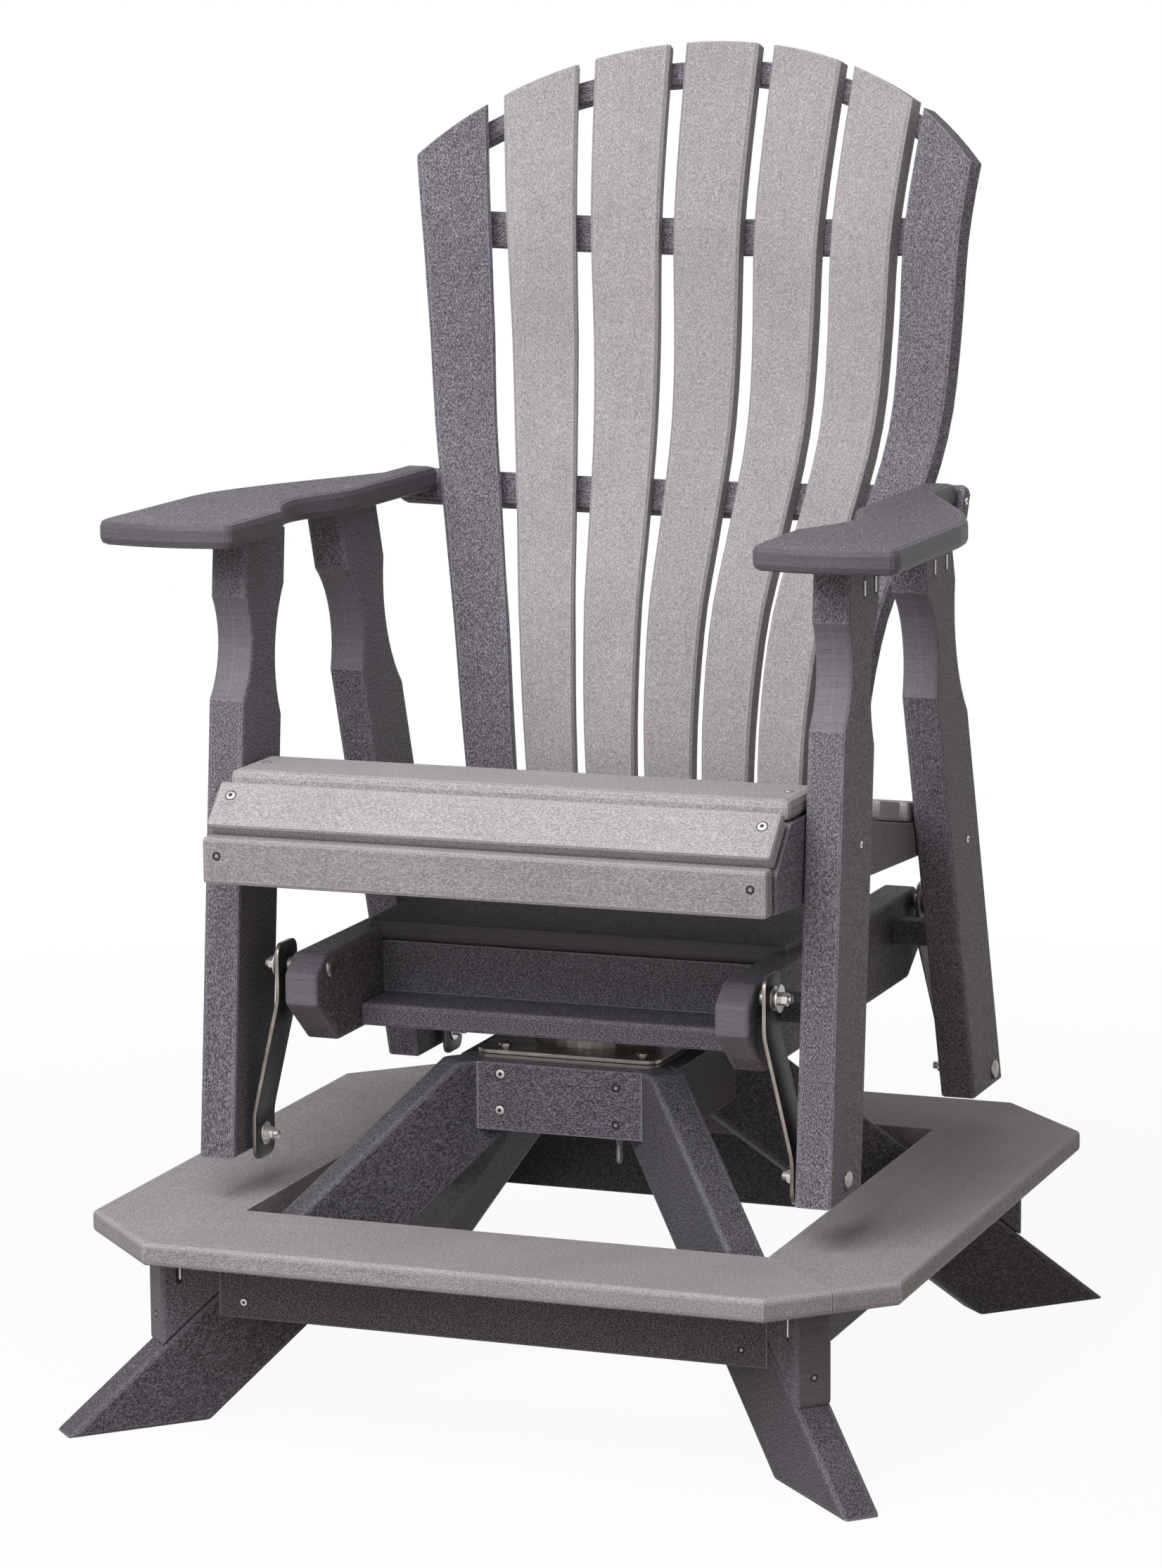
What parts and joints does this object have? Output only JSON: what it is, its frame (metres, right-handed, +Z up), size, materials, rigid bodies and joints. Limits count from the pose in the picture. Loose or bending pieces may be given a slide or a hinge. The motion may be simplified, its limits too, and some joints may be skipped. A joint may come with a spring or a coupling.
{
  "type": "swivel glider",
  "caption": "Balcony-height armchair of poly lumber that swivels on a splayed stand with a square footrest ring and glides on steel straps.",
  "frame": {"origin": "on the floor, on the swivel axis", "axes": "+Z up, -Y to the front of the seat, +X to the right as seen from the front"},
  "size_m": [0.8054, 0.8125, 1.2726],
  "materials": {
    "charcoal_lumber": "matte",
    "taupe_lumber": "matte",
    "plated_steel": "satin",
    "dark_steel": "satin"
  },
  "bodies": {
    "stand": {"leg_front_right": "charcoal_lumber", "leg_rear_right": "charcoal_lumber", "leg_rear_left": "charcoal_lumber", "leg_front_left": "charcoal_lumber", "riser_front_right": "charcoal_lumber", "riser_rear_right": "charcoal_lumber", "riser_rear_left": "charcoal_lumber", "riser_front_left": "charcoal_lumber", "hub_board_front": "charcoal_lumber", "hub_board_right": "charcoal_lumber", "hub_board_rear": "charcoal_lumber", "hub_board_left": "charcoal_lumber", "apron_front": "charcoal_lumber", "apron_right": "charcoal_lumber", "apron_rear": "charcoal_lumber", "apron_left": "charcoal_lumber", "footrest_front": "taupe_lumber", "footrest_right": "taupe_lumber", "footrest_rear": "taupe_lumber", "footrest_left": "taupe_lumber", "swivel_base_plate": "plated_steel"},
    "carriage": {"swivel_top_plate": "dark_steel", "carriage_bottom_board": "charcoal_lumber", "carriage_top_board": "charcoal_lumber", "carriage_front_board": "charcoal_lumber", "carriage_rear_board": "charcoal_lumber", "glide_rail_right": "charcoal_lumber", "glide_rail_left": "charcoal_lumber"},
    "link_front_left": {"link_front_left": "plated_steel"},
    "link_front_right": {"link_front_right": "plated_steel"},
    "link_rear_left": {"link_rear_left": "plated_steel"},
    "link_rear_right": {"link_rear_right": "plated_steel"},
    "seat": {"post_front_right": "charcoal_lumber", "post_front_left": "charcoal_lumber", "post_rear_right": "charcoal_lumber", "post_rear_left": "charcoal_lumber", "arm_right": "charcoal_lumber", "arm_left": "charcoal_lumber", "stringer_right": "charcoal_lumber", "stringer_left": "charcoal_lumber", "seat_lower_slat": "taupe_lumber", "seat_slanted_slat": "taupe_lumber", "seat_slat_1": "taupe_lumber", "seat_slat_2": "taupe_lumber", "seat_slat_3": "taupe_lumber", "seat_slat_4": "taupe_lumber", "seat_slat_5": "taupe_lumber", "back_slat_1": "charcoal_lumber", "back_slat_2": "taupe_lumber", "back_slat_3": "taupe_lumber", "back_slat_4": "taupe_lumber", "back_slat_5": "taupe_lumber", "back_slat_6": "taupe_lumber", "back_slat_7": "charcoal_lumber", "back_top_rail": "charcoal_lumber", "back_mid_rail": "charcoal_lumber", "back_arm_rail": "charcoal_lumber", "back_low_rail": "charcoal_lumber"}
  },
  "joints": [
    {"name": "swivel", "type": "hinge", "parent": "stand", "child": "carriage", "pos_m": [0, 0, 0.32004], "axis": [0, 0, 1], "continuous": true},
    {"name": "glide", "type": "hinge", "parent": "carriage", "child": "link_front_left", "pos_m": [-0.24257, -0.19685, 0.42164], "axis": [1, 0, 0], "range_deg": [-25, 25]},
    {"name": "glide_front_right", "type": "hinge", "parent": "carriage", "child": "link_front_right", "pos_m": [0.24257, -0.19685, 0.42164], "axis": [1, 0, 0], "range_deg": [-25, 25]},
    {"name": "glide_rear_left", "type": "hinge", "parent": "carriage", "child": "link_rear_left", "pos_m": [-0.24257, 0.28321, 0.42164], "axis": [1, 0, 0], "range_deg": [-25, 25]},
    {"name": "glide_rear_right", "type": "hinge", "parent": "carriage", "child": "link_rear_right", "pos_m": [0.24257, 0.28321, 0.42164], "axis": [1, 0, 0], "range_deg": [-25, 25]},
    {"name": "seat_level", "type": "hinge", "parent": "link_front_left", "child": "seat", "pos_m": [-0.26924, -0.19685, 0.25527], "axis": [1, 0, 0], "range_deg": [-25, 25]}
  ],
  "couplings": [
    {"joint": "glide_front_right", "follows": "glide", "ratio": 1},
    {"joint": "glide_rear_left", "follows": "glide", "ratio": 1},
    {"joint": "glide_rear_right", "follows": "glide", "ratio": 1},
    {"joint": "seat_level", "follows": "glide", "ratio": -1}
  ]
}
